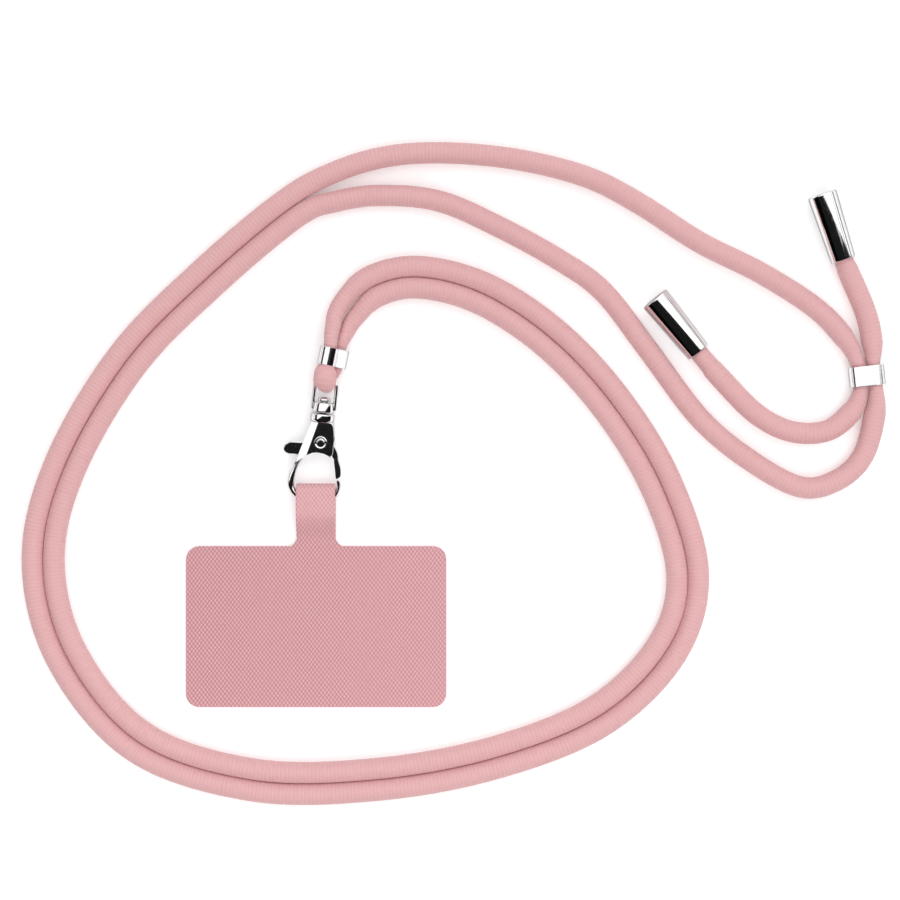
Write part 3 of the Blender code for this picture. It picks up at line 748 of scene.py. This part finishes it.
def build_band(name, node, place, squeeze, length, seam, finish):
    """A strip of sheet metal rolled round both strands, with its end lapped over its start."""
    offset = strand_offset(squeeze)
    inner = CORD_DIAMETER / 2 * squeeze + GAP
    around = 4 * offset + 2 * math.pi * inner
    shape = bmesh.new()
    rings = []
    section = strip_section(length / 2, 0, SHEET_THICKNESS, SHEET_THICKNESS * 0.3)
    travel = around + OVERLAP
    for step in range(BAND_STEPS + 1):
        along = travel * step / BAND_STEPS
        rise = (SHEET_THICKNESS + GAP / 6) * min(1.0, along / around)
        start = seam - OVERLAP + along
        here = band_point(offset, inner, start)
        ahead = band_point(offset, inner, start + GAP / 10)
        tangent = (ahead - here).normalized()
        out = Vector((tangent.z, 0, -tangent.x))
        if out.dot(here - Vector((max(-offset, min(offset, here.x)), 0, 0))) < 0:
            out = -out
        ring = [here + out * (rise + deep) + Vector((0, width, 0)) for width, deep in section]
        rings.append([place @ corner for corner in ring])
    add_loft(shape, rings)
    return add_piece(name, shape, finish, "strap", node)


# The swivel clasp
# The hook's ring: degrees from +X, outer and inner edge as shares of its radius
HOOK_SECTIONS = [
    (126, 1.2, 1.1),
    (134, 1.16, 1.04),
    (143, 1.12, 0.98),
    (158, 1.12, 0.9),
    (172, 1.13, 0.87),
    (184, 1.13, 0.87),
    (196, 1.11, 0.875),
    (208, 1.06, 0.83),
    (222, 1.0, 0.77),
    (245, 0.96, 0.74),
    (270, 0.94, 0.72),
    (295, 0.95, 0.73),
    (318, 0.97, 0.76),
    (335, 1.0, 0.8),
    (348, 1.0, 0.85),
    (360, 1.0, 0.845),
    (372, 0.98, 0.82),
]
# Up to which degree the ring is thicker to meet the body, and over how many it thins
RISE_END = 152
RISE_SPAN = 26
# Where the ring's tip would end, over how many degrees it narrows, and to what share of its width
TIP_END = 374
TIP_SPAN = 4
TIP_WIDTH = 0.72
# The ridge on the body's upper side: where it starts across and along, how far it moves to the
# left for each step down, and the slope of the facet to its left
RIDGE_PLACE = (-0.00081, 0.0161)
RIDGE_SLANT = 0.25
RIDGE_SLOPE = math.tan(math.radians(12))
# The lever's slot below and above the pivot, as shares of the body's length, and the cheeks' bevels
SLOT_BELOW = 0.33
SLOT_ABOVE = 0.27
UPPER_BEVEL = 0.00025
LOWER_BEVEL = 0.0004
# The body's flat sides: across as a share of the hook's radius, along as a share of the body's length
BODY_OUTLINE = [
    (0.42, BODY_TOP),
    (-0.42, BODY_TOP),
    (-0.52, 0.2),
    (-0.76, -0.22),
    (-0.94, -0.52),
    (-0.72, -0.42),
    (-0.5, -0.27),
    (-0.25, -0.205),
    (0.0, -0.19),
    (0.25, -0.205),
    (0.47, -0.29),
    (0.58, -0.22),
    (0.56, 0.1),
    (0.5, 0.36),
]


def section_ring(centre, outward, half_width, half_height, sides=16):
    """A soft-cornered cross-section, wide along outward and high along Z."""
    ring = []
    for step in range(sides):
        angle = 2 * math.pi * step / sides
        across, up = math.cos(angle), math.sin(angle)
        across = math.copysign(abs(across) ** 0.75, across)
        up = math.copysign(abs(up) ** 0.75, up)
        ring.append(centre + outward * across * half_width + Vector((0, 0, up * half_height)))
    return ring


def clip(outline, low, high):
    """The part of an outline between two heights along Y."""
    for level, keep in ((low, 1), (high, -1)):
        kept = []
        for index, here in enumerate(outline):
            ahead = outline[(index + 1) % len(outline)]
            inside, inside_ahead = (here[1] - level) * keep >= 0, (ahead[1] - level) * keep >= 0
            if inside:
                kept.append(here)
            if inside != inside_ahead:
                share = (level - here[1]) / (ahead[1] - here[1])
                kept.append((here[0] + (ahead[0] - here[0]) * share, level))
        outline = kept
    return outline


def slope_left_facet(shape, above):
    """Cuts the upper side along its ridge and lets the part to the left of it slope down."""
    across = Vector((1, -RIDGE_SLANT, 0))
    start = Vector((*RIDGE_PLACE, 0))
    parts = [*shape.verts, *shape.edges, *shape.faces]
    bmesh.ops.bisect_plane(shape, geom=parts, dist=1e-7, plane_co=start, plane_no=across)
    for vert in shape.verts:
        beyond = -(vert.co - start).dot(across)
        if vert.co.z > above and beyond > 0:
            vert.co.z -= beyond * RIDGE_SLOPE


def build_hook(finish):
    """The cast hook and body: a round-edged ring, two cheeks beside the lever's slot, and a collar."""
    shape = bmesh.new()
    outline = [(x * HOOK_RADIUS, PIVOT_ALONG + y * BODY_LENGTH) for x, y in BODY_OUTLINE]
    slot_half = LEVER_THICKNESS / 2 + GAP * 0.7
    face = BODY_THICKNESS / 2
    inset = GAP * 2.2
    add_prism(shape, outline, slot_half, face, UPPER_BEVEL)
    slope_left_facet(shape, slot_half + GAP)
    rings = []
    for degrees, outer, inner in smooth_rows(HOOK_SECTIONS, 4.0, 1):
        angle = math.radians(degrees)
        outward = Vector((math.cos(angle), math.sin(angle), 0))
        middle = outward * HOOK_RADIUS * (outer + inner) / 2
        blunt = 1 - (1 - TIP_WIDTH) * max(0.0, 1 - (TIP_END - degrees) / TIP_SPAN)
        half_width = HOOK_RADIUS * (outer - inner) / 2 * blunt
        raised = max(0.0, (RISE_END - degrees) / RISE_SPAN) * (face - inset - HOOK_THICKNESS / 2)
        rings.append(section_ring(middle, outward, half_width, HOOK_THICKNESS / 2 + raised))
    add_loft(shape, rings)

    slot_low = PIVOT_ALONG - BODY_LENGTH * SLOT_BELOW
    slot_top = PIVOT_ALONG + BODY_LENGTH * SLOT_ABOVE
    add_prism(shape, outline, -face, -slot_half, LOWER_BEVEL)
    core = [(x * 0.95, y) for x, y in outline]
    add_prism(shape, clip(core, slot_top, body_top), -face + inset, face - inset)
    leg = clip(outline, PIVOT_ALONG - BODY_LENGTH, slot_low)
    leg = [point for point in leg if point[0] < -HOOK_RADIUS * 0.2]
    add_prism(shape, leg, -face + inset, face - inset)

    post = POST_DIAMETER / 2
    head = POST_HEAD_DIAMETER / 2
    collar = COLLAR_DIAMETER / 2
    head_low = eye_base_top + GAP
    profile = [
        (0, body_top - BODY_LENGTH * 0.03),
        (collar * 0.86, body_top - BODY_LENGTH * 0.03),
        (collar, body_top + COLLAR_LENGTH * 0.15),
        (collar, body_top + COLLAR_LENGTH * 0.85),
        (collar * 0.88, collar_top),
        (post, collar_top),
        (post, head_low),
        (head, head_low),
        (head, head_low + POST_HEAD_LENGTH * 0.5),
        (head * 0.62, head_low + POST_HEAD_LENGTH),
        (0, head_low + POST_HEAD_LENGTH),
    ]
    add_turned(shape, rounded_profile(profile, GAP * 0.8), 48, upright)
    shape.transform(clasp_frame)
    return add_piece("cast_hook", shape, finish, "clasp", "clasp_hook")


def build_rivet(finish):
    """The rivet's two heads, each a flat rim round a raised button."""
    face = BODY_THICKNESS / 2 + GAP / 6
    head = RIVET_HEAD_DIAMETER / 2
    top = face + RIVET_HEAD_HEIGHT
    half_profile = [
        (head, face),
        (head, face + RIVET_HEAD_HEIGHT * 0.45),
        (head * 0.86, face + RIVET_HEAD_HEIGHT * 0.8),
        (head * 0.66, face + RIVET_HEAD_HEIGHT * 0.35),
        (head * 0.56, face + RIVET_HEAD_HEIGHT * 0.7),
        (head * 0.5, top),
        (0, top),
    ]
    profile = [(0, -top), *[(radius, -height) for radius, height in half_profile[-2::-1]], *half_profile]
    shape = bmesh.new()
    add_turned(shape, rounded_profile(profile, GAP / 4), 40, clasp_frame @ to_pivot)
    return add_piece("domed_rivet", shape, finish, "clasp", "lever_rivet")


def build_lever(finish):
    """The lever as one casting with rounded edges, from its thumb piece to the gate's tip."""
    hub = BODY_LENGTH * 0.15
    gate_outer = HOOK_RADIUS * 0.96 - PIVOT_SIDE
    gate_inner = HOOK_RADIUS * 0.79 - PIVOT_SIDE
    gate_middle = (gate_inner + gate_outer) / 2
    reach = LEVER_REACH
    thumb = THUMB_WIDTH / 2
    thumb_down = -THUMB_WIDTH * 0.8
    tip = [(x, -math.sqrt(reach**2 - x**2)) for x in (gate_inner, gate_middle, gate_outer)]
    gate_out = smooth_rows(
        [
            tip[-1],
            (gate_outer * 0.97, -reach * 0.62),
            (gate_outer * 0.83, -reach * 0.42),
            (gate_outer * 0.74, -reach * 0.22),
            (gate_outer * 0.5, -reach * 0.02),
            (hub * 0.9, hub * 0.8),
            (0, hub * 1.05),
            (-hub * 0.9, hub * 0.7),
            (-THUMB_LENGTH * 0.45, thumb_down + thumb),
        ],
        GAP * 2,
        2,
    )
    gate_in = smooth_rows(
        [
            (-THUMB_LENGTH * 0.5, thumb_down - thumb),
            (-hub, -hub * 1.25),
            (0, -hub * 1.15),
            (hub * 1.1, -hub * 1.2),
            (gate_inner * 0.72, -reach * 0.3),
            (gate_inner * 0.83, -reach * 0.5),
            tip[0],
        ],
        GAP * 2,
        2,
    )
    thumb_end = arc((-THUMB_LENGTH + thumb, thumb_down), thumb, 90, 270, 14)
    shape = bmesh.new()
    half = LEVER_THICKNESS / 2
    add_prism(shape, [tip[1], *gate_out, *thumb_end, *gate_in], -half, half, GAP)
    shape.transform(clasp_frame @ to_pivot)
    return add_piece("spring_lever", shape, finish, "lever", "clasp_lever")


def build_eye(finish):
    """The swivel's wire loop on its turned barrel."""
    wire = EYE_WIRE_DIAMETER / 2
    wire_sides = 14
    arch_low = eye_bar_along - eye_arch_radius
    start = eye_base_low + EYE_BASE_LENGTH * 0.3
    path = [(-eye_arch_radius, start), (-eye_arch_radius, (start + arch_low) / 2)]
    path += arc((0, arch_low), eye_arch_radius, 180, 0, 28)
    path += [(eye_arch_radius, (start + arch_low) / 2), (eye_arch_radius, start)]
    shape = bmesh.new()
    rings = []
    for index, (x, y) in enumerate(path):
        before, after = path[max(index - 1, 0)], path[min(index + 1, len(path) - 1)]
        run = Vector((after[0] - before[0], after[1] - before[1], 0)).normalized()
        across = Vector((-run.y, run.x, 0))
        ring = []
        for step in range(wire_sides):
            angle = 2 * math.pi * step / wire_sides
            out = across * math.cos(angle) + Vector((0, 0, math.sin(angle)))
            ring.append(Vector((x, y, 0)) + out * wire)
        rings.append(ring)
    add_loft(shape, rings)
    bore = POST_DIAMETER / 2 + GAP / 2
    base = EYE_BASE_DIAMETER / 2
    profile = [
        (bore, eye_base_low),
        (base * 0.9, eye_base_low),
        (base, eye_base_low + EYE_BASE_LENGTH * 0.1),
        (base * 0.9, eye_base_top - EYE_BASE_LENGTH * 0.12),
        (base * 0.8, eye_base_top),
        (bore, eye_base_top),
        (bore, eye_base_low),
    ]
    add_turned(shape, rounded_profile(profile, GAP), 48, upright)
    bmesh.ops.remove_doubles(shape, verts=shape.verts, dist=1e-7)
    shape.transform(clasp_frame)
    return add_piece("wire_eye", shape, finish, "strap", "swivel_eye")


# The card
# Its cut edges, the height of the fold's middle, and the length of the slope down to the flap's end
CARD_RIM = CARD_THICKNESS * 0.3
FLAP_SLOPE = 0.0078
fold_middle = (POCKET_ROOM + 2 * CARD_THICKNESS) / 2


def card_outline():
    """The card and its tab, up to the fold, anticlockwise from the lower left."""
    half_width, half_height, half_tab = CARD_WIDTH / 2, CARD_HEIGHT / 2, TAB_WIDTH / 2
    tab_end = half_height + TAB_LENGTH
    corner = CARD_CORNER
    outline = arc((-half_width + corner, -half_height + corner), corner, 180, 270, 12)
    outline += arc((half_width - corner, -half_height + corner), corner, 270, 360, 12)
    outline += arc((half_width - corner, half_height - corner), corner, 0, 90, 12)
    outline += arc((half_tab + TAB_FILLET, half_height + TAB_FILLET), TAB_FILLET, 270, 180, 8)
    outline += [(half_tab, tab_end - fold_middle), (-half_tab, tab_end - fold_middle)]
    outline += arc((-half_tab - TAB_FILLET, half_height + TAB_FILLET), TAB_FILLET, 0, -90, 8)
    outline += arc((-half_width + corner, half_height - corner), corner, 90, 180, 12)
    return outline


def build_card(finish):
    """The woven card with soft edges, and its tab folded back over the hook and stitched flat."""
    shape = bmesh.new()
    add_prism(shape, card_outline(), 0, CARD_THICKNESS, CARD_RIM)
    half_height, half_tab = CARD_HEIGHT / 2, TAB_WIDTH / 2
    tab_end = half_height + TAB_LENGTH
    pocket_end = tab_end - POCKET_DEPTH
    slope_end = pocket_end - FLAP_SLOPE
    middle = CARD_THICKNESS / 2
    line = arc((tab_end - fold_middle, fold_middle), fold_middle - middle, -90, 90, 14)
    line += [(pocket_end, 2 * fold_middle - middle)]
    for share in (0.82, 0.64, 0.46, 0.28, 0.14, 0.0):
        rise = share * share * (3 - 2 * share)
        line.append((slope_end + FLAP_SLOPE * share, middle + (2 * fold_middle - 2 * middle) * rise))
    line = [(tab_end - fold_middle - CARD_THICKNESS, middle), *line]
    line = smooth_rows(line, GAP * 1.6, 2)
    half = middle * 0.98
    section = strip_section(half_tab, -half, half, CARD_RIM)
    rings = []
    for index, (along, up) in enumerate(line):
        before, after = line[max(index - 1, 0)], line[min(index + 1, len(line) - 1)]
        run = Vector((0, after[0] - before[0], after[1] - before[1])).normalized()
        out = Vector((0, run.z, -run.y))
        rings.append([Vector((across, along, up)) + out * lift for across, lift in section])
    add_loft(shape, rings)
    uv_map = shape.loops.layers.uv.new("UVMap")
    for face in shape.faces:
        for loop in face.loops:
            loop[uv_map].uv = (loop.vert.co.x, loop.vert.co.y)
    return add_piece("woven_card", shape, finish, "clasp", "phone_card")


# Floor, light and world
FLOOR_SIZE = 3.0
FLOOR_DROP = 0.00002
FLOOR_TONE = (0.9, 0.9, 0.9, 1.0)
FLOOR_GRAIN = (0.86, 0.86, 0.86, 1.0)


def build_floor():
    """A matt white table top, faintly lit from below."""
    bpy.ops.mesh.primitive_plane_add(size=FLOOR_SIZE, location=(0, 0, -FLOOR_DROP))
    floor = bpy.context.object
    floor.name = "floor"
    n = Nodes("matt_white")
    grain = n.noise(n.coordinates("Object"), 900, 2.0)
    tone = n.mix(n.math("MULTIPLY", grain, 0.03), FLOOR_TONE, FLOOR_GRAIN)
    n.set(Emission_Color=(1.0, 1.0, 1.0, 1.0), Emission_Strength=0.2)
    floor.data.materials.append(n.set(Base_Color=tone, Roughness=0.9, Specular_IOR_Level=0.1))


# The room: degrees from the zenith towards +X and how bright it is there, between its two horizons
ROOM_HORIZON = 0.9
ROOM_BANDS = [
    (-78, 0.8),
    (-73, 0.04),
    (-52, 0.03),
    (-47, 1.0),
    (54, 1.0),
    (56, 0.25),
    (59, 0.25),
    (61, 1.0),
    (72, 1.0),
    (75, 0.05),
    (82, 0.05),
    (86, 0.9),
]
ROOM_BRIGHTNESS = 1.3
# The plane through the strap that divides the room, with its dark part in front on the right
ROOM_EDGE = (-0.12, 1.0, 0.0115)
EDGE_SOFTNESS = 0.02
DARK_PART = 0.008


def build_room():
    """A white room whose front part is dark, so that the polished metal shows black beside white."""
    world = bpy.data.worlds.new("room")
    bpy.context.scene.world = world
    world.use_nodes = True
    tree = world.node_tree

    def add(kind, operation=None):
        node = tree.nodes.new(kind)
        if operation:
            node.operation = operation
        return node

    place = add("ShaderNodeTexCoord").outputs["Generated"]
    split = add("ShaderNodeSeparateXYZ")
    tree.links.new(place, split.inputs[0])
    tilt = add("ShaderNodeMath", "ARCTAN2")
    tree.links.new(split.outputs["X"], tilt.inputs[0])
    tree.links.new(split.outputs["Z"], tilt.inputs[1])
    share = add("ShaderNodeMapRange")
    share.inputs["From Min"].default_value = -math.pi / 2
    share.inputs["From Max"].default_value = math.pi / 2
    tree.links.new(tilt.outputs[0], share.inputs["Value"])
    ramp = add("ShaderNodeValToRGB")
    elements = ramp.color_ramp.elements
    for element in elements:
        element.color = (ROOM_HORIZON, ROOM_HORIZON, ROOM_HORIZON, 1.0)
    for degrees, tone in ROOM_BANDS:
        elements.new((degrees + 90) / 180).color = (tone, tone, tone, 1.0)
    tree.links.new(share.outputs["Result"], ramp.inputs[0])
    behind = add("ShaderNodeVectorMath", "DOT_PRODUCT")
    tree.links.new(place, behind.inputs[0])
    behind.inputs[1].default_value = ROOM_EDGE
    lit = add("ShaderNodeMapRange")
    lit.inputs["From Min"].default_value = -EDGE_SOFTNESS / 2
    lit.inputs["From Max"].default_value = EDGE_SOFTNESS / 2
    lit.inputs["To Min"].default_value = DARK_PART * ROOM_BRIGHTNESS
    lit.inputs["To Max"].default_value = ROOM_BRIGHTNESS
    tree.links.new(behind.outputs["Value"], lit.inputs["Value"])
    background = tree.nodes["Background"]
    tree.links.new(ramp.outputs[0], background.inputs["Color"])
    tree.links.new(lit.outputs["Result"], background.inputs["Strength"])


# The lights: place from the photo's middle, width and length, and power
SOFT_LIGHT = ((0.55, 0.45, 0.9), (0.8, 0.8), 1.0)
FILL_LIGHT = ((0.1, -0.6, 0.85), (1.4, 1.0), 9.9)


def add_area(name, offset, size, power):
    """A rectangular light that faces the photo's middle."""
    target = photo_place(CAMERA_PIXEL)
    place = target + Vector(offset)
    lamp = bpy.data.lights.new(name, "AREA")
    lamp.shape = "RECTANGLE"
    lamp.size, lamp.size_y = size
    lamp.energy = power
    light = bpy.data.objects.new(name, lamp)
    light.location = place
    light.rotation_euler = (target - place).to_track_quat("-Z", "Y").to_euler()
    bpy.context.scene.collection.objects.link(light)
    return light


def build_lights():
    """A large soft light behind on the right, and a fill from the front that the metal doesn't show."""
    add_area("soft_light", *SOFT_LIGHT)
    fill = add_area("fill_light", *FILL_LIGHT)
    fill.visible_glossy = False


def main():
    build_camera()
    cord, places, length = build_cord(cord_cloth())
    metal = polished_metal()
    build_cap("cap_1", "cord_cap_1", FIRST_CAP_PIXELS, metal)
    build_cap("cap_2", "cord_cap_2", SECOND_CAP_PIXELS, metal)
    slider = (slider_frame, SLIDER_SQUEEZE, SLIDER_LENGTH, SLIDER_SEAM)
    build_band("rolled_slider", "slider_band", *slider, metal)
    clamp = (clamp_frame, CLAMP_SQUEEZE, CLAMP_LENGTH, CLAMP_SEAM)
    build_band("rolled_clamp", "clamp_band", *clamp, metal)
    build_hook(metal)
    build_rivet(metal)
    build_lever(metal)
    build_eye(metal)
    card = build_card(card_cloth())
    build_floor()
    build_room()
    build_lights()
    bpy.context.scene.view_settings.view_transform = "Standard"
    bpy.context.view_layer.update()


main()
